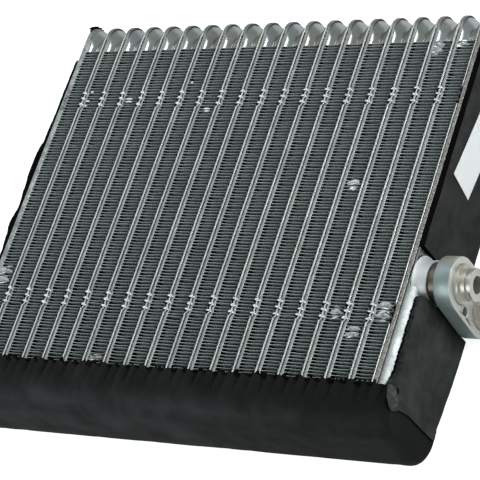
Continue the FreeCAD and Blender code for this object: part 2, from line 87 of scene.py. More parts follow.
class Shell:
    """Points and faces for one mesh, each face with the number of its material."""

    def __init__(self):
        self.points = []
        self.faces = []
        self.paints = []

    def add(self, x, y, z):
        self.points.append(to_row(x, y, z))
        return len(self.points) - 1

    def face(self, corners, paint=0):
        self.faces.append(tuple(corners))
        self.paints.append(paint)

    def grid(self, rows, closed=False, paint=0, paints=None):
        """Quads between rows of point indices; paints gives one number for each column."""
        pairs = list(zip(rows, rows[1:]))
        if closed:
            pairs.append((rows[-1], rows[0]))
        for low, high in pairs:
            for i in range(len(low) - 1):
                number = paints[i] if paints else paint
                self.face((low[i], low[i + 1], high[i + 1], high[i]), number)

    def sheet(self, rows, **options):
        """Quads between rows of points."""
        self.grid([[self.add(*point) for point in row] for row in rows], **options)

    def make(self, name, materials, smooth_angle):
        mesh = bpy.data.meshes.new(name)
        mesh.from_pydata(self.points, [], self.faces)
        for material in materials:
            mesh.materials.append(material)
        mesh.polygons.foreach_set("material_index", self.paints)
        mesh.validate()
        mesh.update()
        mesh.shade_smooth()
        mesh.set_sharp_from_angle(angle=radians(smooth_angle))
        return add_object(name, mesh)


def add_object(name, data):
    thing = bpy.data.objects.new(name, data)
    bpy.context.scene.collection.objects.link(thing)
    return thing


def place(piece, slot_name, *nodes):
    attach(piece, "root")
    if nodes:
        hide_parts(*nodes)


# Materials
CLOUD = (0.3, 0.7)
FOAM_CLOUD = (0.3, 0.72)
FINE_SHARE = 6
METAL_RELIEF = 0.1 * MM
FOAM_GRAIN = 900.0
FOAM_RELIEF = 0.4 * MM


def new_material(name):
    material = bpy.data.materials.new(name)
    material.use_nodes = True
    tree = material.node_tree
    shader = tree.nodes["Principled BSDF"]
    return material, tree, shader


def new_node(tree, kind):
    return tree.nodes.new("ShaderNode" + kind)


def set_inputs(node, **values):
    for name, value in values.items():
        node.inputs[name.replace("_", " ")].default_value = value


def noise(tree, scale, detail=4.0, rough=0.55):
    texture = new_node(tree, "TexNoise")
    set_inputs(texture, Scale=scale, Detail=detail, Roughness=rough)
    tree.links.new(new_node(tree, "TexCoord").outputs["Object"], texture.inputs["Vector"])
    return texture.outputs["Fac"]


def opaque(colour):
    """A colour with full alpha. A plain number is a grey."""
    return (*colour, 1) if isinstance(colour, tuple) else (colour, colour, colour, 1)


def ramp(tree, source, stops):
    node = new_node(tree, "ValToRGB")
    first, last = node.color_ramp.elements
    first.position, first.color = stops[0][0], opaque(stops[0][1])
    last.position, last.color = stops[-1][0], opaque(stops[-1][1])
    for position, colour in stops[1:-1]:
        node.color_ramp.elements.new(position).color = opaque(colour)
    tree.links.new(source, node.inputs["Fac"])
    return node.outputs["Color"]


def multiply(tree, colour, factor):
    node = new_node(tree, "MixRGB")
    node.blend_type = "MULTIPLY"
    set_inputs(node, Fac=1.0)
    tree.links.new(colour, node.inputs[1])
    tree.links.new(factor, node.inputs[2])
    return node.outputs["Color"]


def blend(tree, share, first, second):
    """The first colour where the share is 0, the second where it is 1."""
    node = new_node(tree, "MixRGB")
    tree.links.new(share, node.inputs["Fac"])
    for socket, colour in ((node.inputs[1], first), (node.inputs[2], second)):
        if isinstance(colour, tuple):
            socket.default_value = opaque(colour)
        else:
            tree.links.new(colour, socket)
    return node.outputs["Color"]


def split_axes(tree, source):
    node = new_node(tree, "SeparateXYZ")
    tree.links.new(source, node.inputs[0])
    return node.outputs


def object_axis(tree, axis):
    """One of the object's own coordinates, in metres."""
    return split_axes(tree, new_node(tree, "TexCoord").outputs["Object"])[axis]


def facing(tree):
    """The X, Y and Z parts of each face's direction."""
    return split_axes(tree, new_node(tree, "NewGeometry").outputs["True Normal"])


def calculate(tree, operation, first, second):
    node = new_node(tree, "Math")
    node.operation = operation
    tree.links.new(first, node.inputs[0])
    node.inputs[1].default_value = second
    return node.outputs[0]


def scaled(tree, source, factor, offset):
    result = calculate(tree, "MULTIPLY_ADD", source, factor)
    result.node.inputs[2].default_value = offset
    return result


def core_x(tree):
    """Place X in the core, in metres."""
    return calculate(tree, "ADD", object_axis(tree, "X"), MIDDLE_X * MM)


def bay_share(tree):
    """Place between two tubes, from 0 to 1."""
    return calculate(tree, "FRACT", calculate(tree, "DIVIDE", core_x(tree), PITCH * MM), 0.0)


# The painted shade in the bays gets darker down to this depth under the lips
SHADE_DEPTH = 4.0


def painted_bay_shade(tree):
    """Painted light and shade across each bay of fins: bright bends on the left over dark pockets, duller to
    the right, darker deeper under the lips.
    """
    share = bay_share(tree)
    stops = [(0.12, 1.0), (0.19, 1.0), (0.25, 0.72), (0.45, 0.62), (0.70, 0.52), (0.86, 0.30)]
    side_tone = ramp(tree, share, stops)
    pocket = ramp(tree, share, [(0.13, 0.04), (0.24, 0.08), (0.31, 1.0), (0.90, 1.0)])
    shade_depth = SHADE_DEPTH * MM
    height = scaled(tree, object_axis(tree, "Z"), 1 / shade_depth, 1 + REST_Z * MM / shade_depth)
    deep_tone = ramp(tree, height, [(0.15, 0.36), (0.50, 0.70), (0.85, 1.0)])
    at_front = ramp(tree, height, [(0.78, 0.0), (0.92, 1.0)])
    return multiply(tree, side_tone, blend(tree, at_front, multiply(tree, deep_tone, pocket), deep_tone))


def crevice_shade_and_stain(tree):
    """Painted shade on the barrels, darker toward their crevices beside the lips, with a bluish painted
    reflection between and a browner one toward the right; over it a cloud of brownish stain.
    """
    blue = (0.97, 1.03, 1.06)
    stops = [(0.10, 0.62), (0.17, blue), (0.34, blue), (0.50, 0.98)]
    stops += [(0.70, (0.88, 0.85, 0.79)), (0.86, (0.64, 0.62, 0.56)), (0.93, (0.42, 0.40, 0.37))]
    across = ramp(tree, bay_share(tree), stops)
    stain = ramp(tree, noise(tree, 130.0, 5.0, 0.6), [(0.42, (0.92, 0.885, 0.82)), (0.58, (0.98, 1.0, 1.0))])
    return multiply(tree, across, stain)


# Length along the boot over which its painted shade gets darker toward the right
BOOT_TONE_LENGTH = 250.0


def painted_boot_light(tree):
    """Painted light and shade on the boot: its round underside lighter than its walls, and the whole boot
    lighter on the left than on the right.
    """
    down = calculate(tree, "MULTIPLY", facing(tree)["Y"], -1.0)
    turned = ramp(tree, down, [(0.05, 0.30), (0.35, 0.45), (0.75, 0.85), (1.0, 0.6)])
    along = scaled(tree, object_axis(tree, "X"), 1 / (BOOT_TONE_LENGTH * MM), 0.5)
    return multiply(tree, turned, ramp(tree, along, [(0.0, 1.55), (0.5, 1.4), (0.95, 0.6)]))


def bump(tree, shader, source, strength, distance):
    node = new_node(tree, "Bump")
    set_inputs(node, Strength=strength, Distance=distance)
    tree.links.new(source, node.inputs["Height"])
    tree.links.new(node.outputs["Normal"], shader.inputs["Normal"])


def cloudy_colour(tree, shader, cloud, limits, dark, light, tone=None):
    """Base colour from dark to light between the limits of a cloud; tone(tree) may scale it."""
    colour = ramp(tree, cloud, list(zip(limits, (dark, light))))
    if tone:
        colour = multiply(tree, colour, tone(tree))
    tree.links.new(colour, shader.inputs["Base Color"])


def metal(name, dark, light, rough, scale, relief=0.15, metallic=1.0, tone=None):
    """Coated or bare aluminium with cloudy colour and roughness."""
    material, tree, shader = new_material(name)
    set_inputs(shader, Metallic=metallic)
    cloudy_colour(tree, shader, noise(tree, scale), CLOUD, dark, light, tone)
    fine = noise(tree, scale * FINE_SHARE, 3.0)
    tree.links.new(ramp(tree, fine, list(zip(CLOUD, rough))), shader.inputs["Roughness"])
    if relief:
        bump(tree, shader, fine, relief, METAL_RELIEF)
    return material


def foam_material(name, dark, light, clouds, shine=0.2, tone=None):
    material, tree, shader = new_material(name)
    set_inputs(shader, Roughness=0.62, Specular_IOR_Level=shine)
    cloudy_colour(tree, shader, noise(tree, clouds, 6.0, 0.6), FOAM_CLOUD, dark, light, tone)
    bump(tree, shader, noise(tree, FOAM_GRAIN, 3.0, 0.6), 0.35, FOAM_RELIEF)
    return material


def label_material():
    material, tree, shader = new_material("label_paper")
    set_inputs(shader, Roughness=0.45)
    cloudy_colour(tree, shader, noise(tree, 120.0, 3.0), CLOUD, (0.94, 0.985, 0.985), (0.97, 1.0, 1.0))
    return material


LIP_METAL = metal("lip_metal", (0.68, 0.71, 0.70), (0.82, 0.85, 0.84), (0.30, 0.46), 60.0)
# Painted shade: a darker copy of the lip metal for the groove and the right lip
SHADE_METAL = metal("shaded_lip_metal", (0.34, 0.36, 0.35), (0.47, 0.49, 0.48), (0.34, 0.50), 60.0)
# Painted shade: near-black metal on the plate sides behind the lips, the lips' outer walls and the last
# tube's groove
SHADED_SIDE_METAL = metal("tube_side_metal", (0.05, 0.055, 0.055), (0.09, 0.10, 0.10), (0.45, 0.60), 60.0)
# The header's colour carries painted shade and reflection across each barrel, with a real stain over it
CUP_METAL = metal("header_metal", (0.53, 0.535, 0.52), (0.70, 0.705, 0.685), (0.20, 0.22), 40.0,
                  relief=0.0, tone=crevice_shade_and_stain)
TORN_METAL = metal("torn_metal", (0.84, 0.87, 0.86), (0.93, 0.95, 0.94), (0.26, 0.40), 300.0)
CRUSHED_METAL = metal("crushed_metal", (0.22, 0.25, 0.25), (0.80, 0.84, 0.83), (0.30, 0.45), 420.0, 0.5)
BAND_METAL = metal("last_tube_metal", (0.16, 0.16, 0.15), (0.52, 0.51, 0.47), (0.38, 0.60), 900.0, 0.4)
END_METAL = metal("end_plate_metal", (0.26, 0.285, 0.28), (0.56, 0.61, 0.60), (0.36, 0.52), 260.0, 0.8)
# The fins' colour carries painted light and shade across each bay and with depth
FIN_METAL = metal("fin_metal", (0.74, 0.85, 0.84), (0.90, 1.0, 0.99), (0.40, 0.55), 70.0,
                  metallic=0.45, tone=painted_bay_shade)
PLATE_METAL = metal("plate_metal", (0.21, 0.235, 0.232), (0.36, 0.395, 0.392), (0.31, 0.42), 110.0, 0.2)
COLLAR_METAL = metal("collar_metal", (0.72, 0.76, 0.77), (0.84, 0.87, 0.88), (0.50, 0.62), 90.0, metallic=0.5)

FOAM = foam_material("foam_sheet", (0.007, 0.0085, 0.0075), (0.034, 0.039, 0.036), 75.0)
# The boot's colour carries painted light and shade
BOOT_FOAM = foam_material("foam_boot", (0.018, 0.020, 0.020), (0.055, 0.061, 0.060), 60.0,
                          shine=0.11, tone=painted_boot_light)
LOWER_FOAM = foam_material("foam_lower_sheet", (0.012, 0.0145, 0.013), (0.055, 0.063, 0.059), 75.0)
# Near-black foam for cut edges, and as painted shade in the crevice beside the channel
CUT_AND_SHADE_FOAM = foam_material("foam_cut_edge_and_shade", (0.001, 0.001, 0.001), (0.003, 0.003, 0.0027), 45.0, shine=0.04)
WORN_FOAM = foam_material("foam_worn_edge", (0.003, 0.0035, 0.003), (0.055, 0.06, 0.056), 600.0, shine=0.1)
TORN_FOAM = foam_material("foam_torn_edge", (0.008, 0.009, 0.009), (0.11, 0.12, 0.118), 650.0)


# Outline of a tube plate in the YZ plane, with close stations where the lips change
FINE_STEP = 0.18
FINE_REACH = 1.6
FRONT_STEP = 2.0
REAR_STEP = 4.0
GROOVE_TOP = 8.0


def corner(y, z, first, last, steps, radius=HEADER_CORNER):
    """Stations round a corner with its centre at y, z, between two angles."""
    stations = []
    for step in range(steps + 1):
        angle = radians(first + (last - first) * step / steps)
        ny, nz = cos(angle), sin(angle)
        stations.append((y + radius * ny, z + radius * nz, ny, nz))
    return stations


def straight(start, end, marks, step):
    """Places between two ends, closer together inside the marked stretches."""
    places = []
    at = start
    sign = 1 if end > start else -1
    while (end - at) * sign > 1e-6:
        places.append(at)
        fine = any(low - FINE_REACH < at < high + FINE_REACH for high, low in marks)
        at += sign * (FINE_STEP if fine else step)
    return places


def plate_path():
    """Stations round a tube plate: place and outward normal, from the lower front corner up."""
    lower = -FIN_LENGTH - HEADER_RISE + HEADER_CORNER
    front = -HEADER_CORNER
    rear = -DEPTH + HEADER_CORNER
    marks = CRIMPS + [(GROOVE_TOP + 1.0, GROOVE_TOP - 1.0)]
    path = [(y, 0.0, 0.0, 1.0) for y in straight(lower, HEAD_Y, marks, FRONT_STEP)]
    path += corner(HEAD_Y, front, 90, 0, 14) + corner(HEAD_Y, rear, 0, -90, 10)
    path += [(y, -DEPTH, 0.0, -1.0) for y in straight(HEAD_Y, lower, [], REAR_STEP)]
    return path + corner(lower, rear, -90, -180, 8) + corner(lower, front, 180, 90, 8)


PATH = plate_path()


def crimp_amount(y, z):
    """How far a front lip is pushed over at a height, from 0 to 1, and how far into the zone."""
    if z < -1:
        return 0.0, 0.0
    for high, low in CRIMPS:
        inside = smooth_step(high + 0.5, high - 0.9, y) * (1 - smooth_step(low + 0.25, low - 0.05, y))
        if inside > 0:
            return inside, (high - y) / (high - low)
    return 0.0, 0.0


def groove_closing(y):
    """0 where the groove between the lips is open, 1 beside a header where it is shut."""
    beyond = max(y, -FIN_LENGTH - y)
    return smooth_step(GROOVE_TOP - 0.9, GROOVE_TOP + 0.5, beyond)


# Section across the lips: edges of each lip, groove, seam where it is shut, depth of the sides
LEFT_LIP = (-1.28, -0.26)
RIGHT_LIP = (0.62, 1.72)
GROOVE_DEPTH = 0.8
SEAM_DEPTH = 0.28
LIP_SIDE, LIP_FOOT = 1.4, 3.4
SHUT_SHARE = 0.76
# The last tube has a thin lip, a narrow and deeper groove and a wide band
LAST_LIP = (-1.42, -0.80)
LAST_BAND = -0.42
LAST_GROOVE_DEPTH = 1.3
LAST_LIP_LOSS = 1.8


def lip_profile(y, z, wobble):
    """Points across the lips at a station: distance from the middle and depth below the lips."""
    pushed, along = crimp_amount(y, z)
    closing = groove_closing(y)
    depth = GROOVE_DEPTH * (1 - closing)
    wave = cos(2 * pi * (along * CRIMP_LENGTH - TONGUE_FIRST) / TONGUE_SPACING)
    left_push = wobble * 0.06 + pushed * (0.9 + 0.3 * wave)
    right_push = wobble * 0.05 + pushed * (0.55 + 0.14 * wave)
    sink = 0.06 + pushed * 0.25
    left_out, left_in = LEFT_LIP[0] + left_push, LEFT_LIP[1] + left_push
    right_in, right_out = RIGHT_LIP[0] + right_push, RIGHT_LIP[1] + right_push - 0.2 * pushed
    seam = SEAM_DEPTH if closing > 0.5 and z > -1 else 0.0
    points = [(-PLATE_SIDE, LIP_FOOT), (left_out + 0.02, LIP_SIDE + sink)]
    points += [(left_out, 0.30), (left_out + 0.12, 0.09), (left_out + 0.34, 0.0)]
    points += [(left_in - 0.28, 0.0), (left_in - 0.08, 0.08)]
    points += [(left_in, 0.10 + depth * 0.35 + seam), (left_in + 0.06, 0.10 + depth + seam)]
    points += [(right_in - 0.06, 0.10 + depth), (right_in, 0.08 + depth * 0.35)]
    points += [(right_in + 0.08, 0.08 + sink), (right_in + 0.28, 0.02 + sink)]
    points += [(right_out - 0.34, sink), (right_out - 0.12, 0.09 + sink), (right_out, 0.30 + sink)]
    points += [(right_out, LIP_SIDE), (max(right_out, HALF_TUBE), LIP_FOOT)]
    if closing > 0.99:
        return [(x * SHUT_SHARE, d) for x, d in points]
    return points


def last_profile(y, z, wobble):
    """The same points for the last tube. The crimps tear its thin lip off."""
    depth = LAST_GROOVE_DEPTH * (1 - groove_closing(y))
    lost = crimp_amount(y, z)[0] * LAST_LIP_LOSS
    left_out, left_in = LAST_LIP[0] + 0.05 * wobble, LAST_LIP[1] + 0.05 * wobble
    band = LAST_BAND + 0.08 * wobble
    points = [(-1.44, LIP_FOOT), (left_out, LIP_SIDE + lost), (left_out, 0.30 + lost)]
    points += [(left_out + 0.1, 0.08 + lost), (left_out + 0.2, lost)]
    points += [(left_in - 0.2, lost), (left_in - 0.06, 0.1 + lost)]
    points += [(left_in, 0.10 + depth * 0.35 + lost), (left_in + 0.04, 0.10 + depth + lost)]
    points += [(band - 0.04, 0.10 + depth), (band, 0.08 + depth * 0.35), (band + 0.08, 0.08)]
    points += [(band + 0.28, 0.0), (1.05, 0.0), (1.32, 0.10)]
    points += [(HALF_TUBE, 0.36), (HALF_TUBE, LIP_SIDE), (HALF_TUBE, LIP_FOOT)]
    return points


LIP, SHADE, SIDE, CUP, TORN, BAND = range(6)
TUBE_METALS = [LIP_METAL, SHADE_METAL, SHADED_SIDE_METAL, CUP_METAL, TORN_METAL, BAND_METAL]
LIP_PAINTS = [SIDE] * 2 + [LIP] * 5 + [SHADE] * 8 + [SIDE] * 2
LAST_PAINTS = [SIDE] * 2 + [LIP] * 5 + [SIDE] * 3 + [BAND] * 5 + [SIDE] * 2


def add_lips(shell, x0, seed, profile, paints):
    """Both lips and their groove, slightly wavy, all round a plate pair."""
    chance = random.Random(seed)
    phase = chance.uniform(0, 6.28)
    rows = []
    for y, z, ny, nz in PATH:
        wobble = sin(y * 0.11 + phase) * 0.6 + sin(y * 0.41 + phase * 2) * 0.4
        rows.append([(x0 + x, y - inset * ny, z - inset * nz) for x, inset in profile(y, z, wobble)])
    shell.sheet(rows, closed=True, paints=paints)


# Cups drawn from each plate, with corners that get rounder away from it
CUP_CORNER = 11.2
CUP_CORNER_GAIN = 3.8
CUP_FOOT = 0.3
CUP_SKIRT = 7.0
BARREL_PLACES = [1.0, 1.5, 2.2, 2.9, 3.6, 4.2, 4.8, 5.3, 5.7, 6.0]


def cup_run(radius):
    """Stations of the upper header's cups, from the front foot to the rear one."""
    centre = HEADER_RISE - radius
    run = [(CUP_FOOT, 0.0, 0.0, 1.0), (centre / 2, 0.0, 0.0, 1.0)]
    run += corner(centre, -radius, 90, 0, 20, radius) + corner(centre, radius - DEPTH, 0, -90, 14, radius)
    return run + [(CUP_FOOT, -DEPTH, 0.0, -1.0)]


CUP_RUNS = [cup_run(CUP_CORNER + CUP_CORNER_GAIN * smooth_step(0.6, 4.0, x)) for x in BARREL_PLACES]


def barrel_inset(x):
    return BARREL_RADIUS - sqrt(BARREL_RADIUS ** 2 - x * x) + LIP_STAND


def add_barrels(shell, x0, side, seed, paint):
    """One half of the barrels at both headers."""
    swell = random.Random(seed).uniform(-0.12, 0.12)
    for lower in (False, True):
        columns = []
        for x, stations in zip(BARREL_PLACES, CUP_RUNS):
            if lower:
                stations = [(-FIN_LENGTH - y, z, -ny, nz) for y, z, ny, nz in stations]
            inset = barrel_inset(x) + swell * (x / HALF_PITCH) * (HALF_PITCH - x) / 3.0
            px = x0 + side * x
            columns.append([shell.add(px, y - inset * ny, z - inset * nz) for y, z, ny, nz in stations])
        rows = list(zip(*columns))
        shell.grid(rows, paint=paint)
        add_skirt(shell, rows[0], -CUP_SKIRT, paint)
        add_skirt(shell, rows[-1], CUP_SKIRT, paint)


def add_skirt(shell, row, deep, paint):
    """A strip from a row of points straight into the core, by a depth along Z."""
    under = []
    for point in row:
        x, y, z = shell.points[point]
        shell.points.append((x, y, z + deep * MM))
        under.append(len(shell.points) - 1)
    shell.grid([row, under], paint=paint)


def add_plate_sides(shell, x0, left, right, paint):
    """Flat sides of a plate behind its lips, as two faces."""
    behind = 3.0
    for x in (left, right):
        ring = [shell.add(x0 + x, y - behind * ny, z - behind * nz) for y, z, ny, nz in PATH[::3]]
        shell.face(ring, paint)


def add_flap(shell, x, y, length, height, arch, lean, paint, slant=0.0):
    """A small strip of bent sheet with round ends: its middle, size, bow, forward lean and slant."""
    steps = 6
    depth = -0.15
    low, high = [], []
    for step in range(steps + 1):
        t = step / steps * 2 - 1
        px = x + t * length / 2
        py = y + (arch * (1 - t * t) + slant * t)
        half = height / 2 * sqrt(1.04 - t * t)
        low.append(shell.add(px, py - half, depth - 0.1 * abs(t)))
        high.append(shell.add(px, py + half, depth + lean * (1 - 0.5 * t * t)))
    shell.grid([low, high], paint=paint)


def add_torn_points(shell, x0, seed):
    """Torn tongues to the left in each crimped zone, with curls beside them."""
    chance = random.Random(seed)
    for high, _ in CRIMPS:
        for number in range(TONGUE_COUNT):
            y = high - TONGUE_FIRST - TONGUE_SPACING * number + chance.uniform(-0.2, 0.2)
            reach = chance.uniform(0.5, 1.0)
            rise = chance.uniform(0.1, 0.6)
            thick = chance.uniform(0.50, 0.75)
            knee_low = y - thick * chance.uniform(0.5, 1.2)
            middle = y + rise * 0.5
            middle_high = middle + thick * chance.uniform(0.2, 0.8)
            tip = y + rise
            # From root to tip: place X, low and high edge, place Z
            tongue = [
                (0.45, y - thick * 1.2, y + thick * 1.3, 0.05),
                (-0.30, knee_low, y + thick, 0.22),
                (-0.85, middle - thick, middle_high, 0.20),
                (-0.90 - reach, tip - thick * 0.6, tip - thick * 0.1, 0.0),
            ]
            shell.sheet([[(x0 + x, low, z), (x0 + x, top, z)] for x, low, top, z in tongue], paint=TORN)
            curl_x = x0 + 1.1 + chance.uniform(0.5, 0.9) * 0.4
            add_flap(shell, curl_x, y - 0.5, length=1.2, height=0.45, arch=0.25, lean=0.25, paint=TORN)


def build_tubes():
    for k in range(1, TUBE_COUNT + 1):
        shell = Shell()
        x0 = PITCH * k
        add_plate_sides(shell, x0, -PLATE_SIDE, PLATE_SIDE, SIDE)
        if k == TUBE_COUNT:
            add_lips(shell, x0, k, last_profile, LAST_PAINTS)
        else:
            add_lips(shell, x0, k, lip_profile, LIP_PAINTS)
            add_barrels(shell, x0, 1, 200 + k, CUP)
            add_torn_points(shell, x0, 300 + k)
        add_barrels(shell, x0, -1, 100 + k, CUP)
        piece = shell.make("tube_skin_%02d" % k, TUBE_METALS, 50)
        place(piece, "tube_aluminium", "tube_%02d" % k)


# Folded rim of the left end plate: place X and depth. Each scallop in its inner edge takes two walls
RIM_LEFT = -1.15
RIM = [(RIM_LEFT, 3.0), (RIM_LEFT, 0.35), (-0.95, 0.08), (-0.6, 0.0), (0.2, 0.05), (0.9, 0.3), (1.25, 0.6),
       (1.43, 0.9), (HALF_TUBE, 3.0)]
SCALLOP = 0.35


def build_left_end_plate():
    shell = Shell()
    rows = []
    for y, z, ny, nz in PATH:
        beside_fins = z > -1 and -FIN_LENGTH < y < 0
        dip = SCALLOP * (1 + cos(pi * y / WALL_SPACING)) if beside_fins else 0.0
        row = []
        for x, inset in RIM:
            deep = inset + dip if x > 0 else inset
            row.append((x, y - deep * ny, z - deep * nz))
        rows.append(row)
    shell.sheet(rows, closed=True)
    add_plate_sides(shell, 0.0, RIM_LEFT, 1.42, 0)
    add_barrels(shell, 0.0, 1, 5, 1)
    piece = shell.make("end_plate_skin", [END_METAL, CUP_METAL], 50)
    place(piece, "plate_aluminium", "left_end_plate")


# Fins
TORN_FIN, CRUSHED_FIN = 1, 2
FIN_METALS = [FIN_METAL, TORN_METAL, CRUSHED_METAL]


def fin_line():
    """Middle line of a folded strip in the XY plane."""
    radius = WALL_SPACING / 2
    line = []
    for wall in range(WALLS):
        side = 1 if wall % 2 else -1
        y = FIRST_WALL - wall * WALL_SPACING
        end = side * (FIN_REACH - radius)
        for t in (0.0, 0.35, 0.7):
            line.append((-end + 2 * end * t, y))
        if wall < WALLS - 1:
            for step in range(BEND_STEPS + 1):
                angle = pi * step / BEND_STEPS
                x = end + side * radius * sin(angle)
                line.append((x, y - radius + radius * cos(angle)))
        else:
            line.append((end, y))
    return line


def line_normals(line):
    normals = []
    for i in range(len(line)):
        a = line[max(i - 1, 0)]
        b = line[min(i + 1, len(line) - 1)]
        dx, dy = b[0] - a[0], b[1] - a[1]
        length = hypot(dx, dy)
        normals.append((-dy / length, dx / length))
    return normals


FIN_LINE = fin_line()
FIN_NORMALS = line_normals(FIN_LINE)

# Crumpled spots: middle X and Y, half sizes, push up, push to the side, strength of crumple
DENTS = [
    (222.1, -140.5, 3.6, 6.0, 0.3, 0.3, 0.75),
    (209.5, -151.2, 3.2, 3.6, -0.2, 0.2, 0.65),
    (198.8, -142.6, 2.8, 3.4, 0.3, 0.2, 0.60),
    (186.9, -76.9, 3.2, 3.4, 0.2, 0.0, 0.50),
    (207.2, -3.2, 2.4, 4.4, -0.3, 0.3, 0.80),
    (217.5, -2.0, 3.0, 2.4, 0.2, 0.0, 0.80),
    (3.6, -131.0, 3.2, 6.0, 0.4, -0.4, 0.60),
    (77.1, -172.2, 3.4, 2.2, -0.2, 0.0, 0.60),
    (136.4, -119.4, 2.4, 4.0, 0.0, 0.3, 0.15),
]
DENT_DEPTH = 4.0
# From this strength of crumple the walls are pressed flat and folded
CRUSHED_FROM = 0.5
# Room between folds and tubes
FOLD_ROOM = 0.3
# Single bent walls that catch the light: middle X and Y, length, bow
BENT_WALLS = [
    (41.0, -29.3, 5.0, 0.35), (41.4, -31.0, 4.6, 0.45), (90.3, -35.4, 4.6, 0.1), (90.8, -36.6, 3.4, -0.1),
    (221.0, -137.6, 4.0, 0.6), (222.6, -140.4, 4.6, -0.5), (221.8, -143.0, 4.2, 0.5),
    (223.0, -145.4, 3.4, 0.3), (209.6, -149.6, 4.4, 0.4), (209.0, -152.4, 4.6, -0.3),
    (198.6, -141.4, 3.8, 0.4), (199.2, -144.2, 3.6, -0.2), (186.6, -75.6, 3.8, 0.3),
    (187.2, -78.4, 4.0, -0.3), (207.4, -0.8, 3.6, -0.6), (206.4, -3.0, 2.8, 0.5),
    (206.8, -5.4, 2.4, -0.4), (217.4, -0.8, 4.2, -0.5), (218.2, -2.6, 3.0, 0.4),
    (3.2, -128.6, 3.2, 0.4), (3.8, -131.6, 3.6, -0.4), (3.4, -134.6, 3.0, 0.5), (77.0, -171.6, 4.6, -0.2),
    (76.4, -173.2, 3.4, 0.2), (15.4, -30.2, 2.6, 0.2), (15.0, -32.6, 2.4, -0.2), (16.0, -24.6, 2.2, 0.1),
    (75.9, -20.0, 1.6, 0.1),
]


def dent_shift(x, y, z, chance):
    """How far the crumpled spots move a point of the fins, less with depth."""
    shift_x = shift_y = shift_z = 0.0
    for cx, cy, rx, ry, up, side, mess in DENTS:
        u = ((x - cx) / rx) ** 2 + ((y - cy) / ry) ** 2
        if u < 1:
            near = (1 - u) * max(0.0, 1 + z / DENT_DEPTH)
            shift_x += side * near + mess * near * chance.uniform(-1, 1)
            shift_y += up * near + mess * near * chance.uniform(-1, 1)
            shift_z += 0.3 * mess * near * chance.uniform(-1, 0.4)
    return shift_x, shift_y, shift_z


def add_crushed_face(shell, x, y, length, height, chance):
    """A few walls pressed flat into one slanted, bulging face with pointed ends."""
    rows = []
    slant = chance.uniform(-0.5, 0.5)
    for level in (-1.0, -0.4, 0.3, 1.0):
        row = []
        for step in range(9):
            t = step / 4 - 1
            half = height / 2 * (1.05 - t * t)
            bulge = 0.35 * (1 - level * level) * (1 - t * t) + chance.uniform(-0.2, 0.2)
            droop = slant * t - 0.2 * height * t * t
            row.append((x + t * length / 2, y + level * half + droop, bulge - 0.24))
        rows.append(row)
    shell.sheet(rows, paint=CRUSHED_FIN)


def inside_bay(x, x0, length):
    """Place X of a strip's middle that keeps the strip inside its bay."""
    slack = max(FIN_REACH - FOLD_ROOM - length / 2, 0.0)
    return min(max(x, x0 - slack), x0 + slack)


def add_thin_folds(shell, x, dent, length, chance):
    """Four thin bright folds across a crumpled spot."""
    cy, ry = dent[1], dent[3]
    for share in (-0.7, -0.1, 0.25, 0.75):
        fold = length * chance.uniform(0.45, 0.9)
        bow = chance.uniform(-0.5, 0.5)
        slant = chance.uniform(-0.9, 0.9)
        height = chance.uniform(0.22, 0.4)
        add_flap(shell, x, cy + ry * share, fold, height, bow, lean=0.4, paint=TORN_FIN, slant=slant)


def add_loose_folds(shell, x0, dent, chance):
    """Wider folds scattered over a crumpled spot, shorter towards its ends."""
    cx, cy, rx, ry = dent[:4]
    for _ in range(int(ry * 1.5)):
        y = cy + chance.uniform(-0.8, 0.8) * ry
        room = 1 - abs(y - cy) / ry * 0.5
        length = rx * room * chance.uniform(0.9, 2.0)
        x = inside_bay(cx + chance.uniform(-1.0, 1.0), x0, length)
        bow = chance.choice((-1, 1)) * chance.uniform(0.2, 0.9)
        height = chance.uniform(0.3, 0.9)
        lean = chance.uniform(-0.3, 0.4)
        add_flap(shell, x, y, length, height, bow, lean, chance.choice((TORN_FIN, CRUSHED_FIN)))


def add_crumples(shell, x0, chance):
    """Pressed faces and folds where the fins are crushed."""
    for dent in DENTS:
        cx, cy, rx, ry, _, _, mess = dent
        if abs(cx - x0) > HALF_PITCH or mess < CRUSHED_FROM:
            continue
        length = min(rx * 2.4, 2 * (FIN_REACH - FOLD_ROOM))
        height = min(ry * 0.62, 2.4)
        x = inside_bay(cx, x0, length)
        for share in (0.45, -0.35) if ry > 3.5 else (0.2,):
            add_crushed_face(shell, x, cy + ry * share, length, height, chance)
        add_thin_folds(shell, x, dent, length, chance)
        add_loose_folds(shell, x0, dent, chance)


def add_fin_sheet(shell, x0, chance):
    """Both faces of a folded strip, whose walls sag and tilt a little at the front."""
    sides = ([], [])
    sag = [chance.uniform(-0.26, 0.26) for _ in range(WALLS + 1)]
    tilt = [chance.uniform(-0.16, 0.16) for _ in range(WALLS + 1)]
    for depth in FIN_DEPTHS:
        rows = ([], [])
        front = max(0.0, 1 + depth / 6.0)
        for (x, y), (nx, ny) in zip(FIN_LINE, FIN_NORMALS):
            wall = min(int((FIRST_WALL - y) / WALL_SPACING + 0.5), WALLS)
            u = x / FIN_REACH
            shake = front * (sag[wall] * (1 - u * u) + tilt[wall] * u * (1 - u * u) * 2)
            sx, sy, sz = dent_shift(x0 + x, y, depth, chance)
            for row, sign in zip(rows, (1, -1)):
                px = min(max(x + sx, -FIN_REACH), FIN_REACH) + sign * FIN_SHEET * nx
                row.append(shell.add(x0 + px, y + shake + sy + sign * FIN_SHEET * ny, depth + sz))
        for side, row in zip(sides, rows):
            side.append(row)
    shell.grid(sides[0])
    shell.grid(sides[1][::-1])
    shell.grid([sides[1][0], sides[0][0]])
    shell.grid([sides[0][-1], sides[1][-1]])


